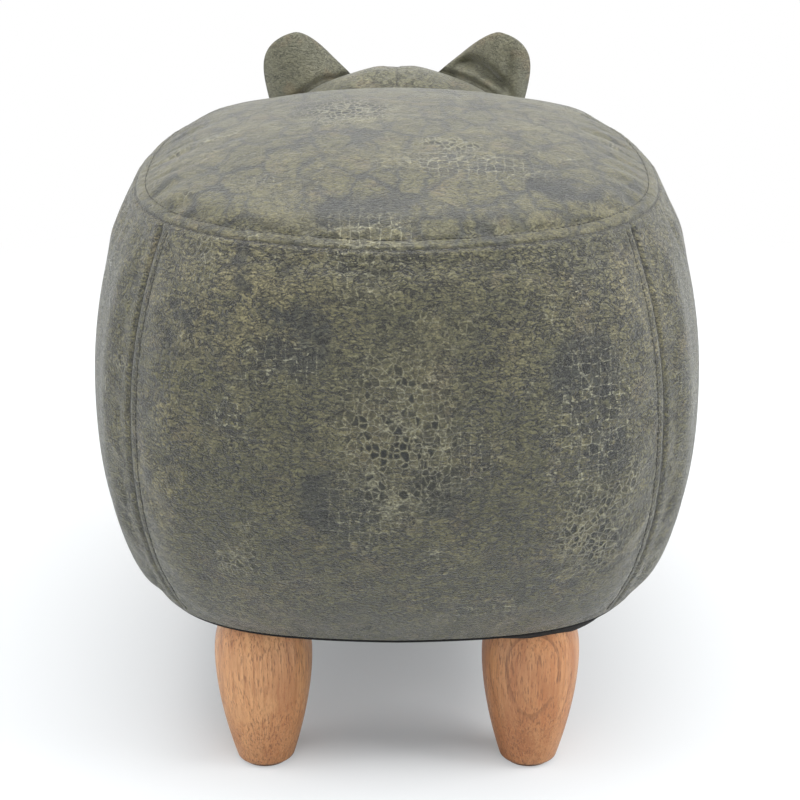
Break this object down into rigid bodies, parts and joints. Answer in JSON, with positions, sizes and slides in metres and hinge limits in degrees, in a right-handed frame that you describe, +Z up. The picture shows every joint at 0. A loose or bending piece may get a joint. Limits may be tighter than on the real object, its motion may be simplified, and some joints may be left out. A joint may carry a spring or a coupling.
{
  "type": "animal footstool",
  "caption": "Upholstered footstool shaped like a hippo: rounded padded body with a crowned seat, stuffed head with ears and turned wooden legs.",
  "frame": {"origin": "on the floor, under the centre of the overall bounding box", "axes": "+Z up; the head looks towards -Y and the rear towards +Y; +X is the animal's left"},
  "size_m": [0.356, 0.649, 0.3725],
  "materials": {
    "leather": "satin",
    "foam": "matte",
    "turned_wood": "satin",
    "softwood": "matte",
    "board": "matte",
    "steel": "satin",
    "felt": "matte",
    "dust_cloth": "matte",
    "black_plastic": "gloss",
    "nostril_leather": "satin"
  },
  "bodies": {
    "root": {"leg_rear_left": "turned_wood", "glide_rear_left": "felt", "hanger_bolt_rear_left": "steel", "tee_nut_rear_left": "steel", "leg_rear_right": "turned_wood", "glide_rear_right": "felt", "hanger_bolt_rear_right": "steel", "tee_nut_rear_right": "steel", "leg_front_left": "turned_wood", "glide_front_left": "felt", "hanger_bolt_front_left": "steel", "tee_nut_front_left": "steel", "leg_front_right": "turned_wood", "glide_front_right": "felt", "hanger_bolt_front_right": "steel", "tee_nut_front_right": "steel", "frame_left_board": "board", "frame_right_board": "board", "frame_rear_board": "board", "frame_front_board": "board", "frame_top_board": "board", "corner_block_rear_left": "softwood", "corner_block_rear_right": "softwood", "corner_block_front_left": "softwood", "corner_block_front_right": "softwood", "base_board": "board", "seat_cover": "leather", "seat_foam": "foam", "left_cover": "leather", "left_pad": "foam", "rear_cover": "leather", "rear_pad": "foam", "right_cover": "leather", "right_pad": "foam", "front_cover": "leather", "front_pad": "foam", "dust_cover": "dust_cloth", "eye_left": "black_plastic", "eye_washer_left": "steel", "nostril_left": "nostril_leather", "eye_right": "black_plastic", "eye_washer_right": "steel", "nostril_right": "nostril_leather", "head_cover_left": "leather", "head_cover_right": "leather", "jaw_cover": "leather", "head_board": "board", "head_foam": "foam", "head_bolt_left": "steel", "head_tee_nut_left": "steel", "head_bolt_right": "steel", "head_tee_nut_right": "steel", "ear_front_left": "leather", "ear_back_left": "leather", "ear_foam_left": "foam", "ear_front_right": "leather", "ear_back_right": "leather", "ear_foam_right": "foam"}
  },
  "joints": []
}
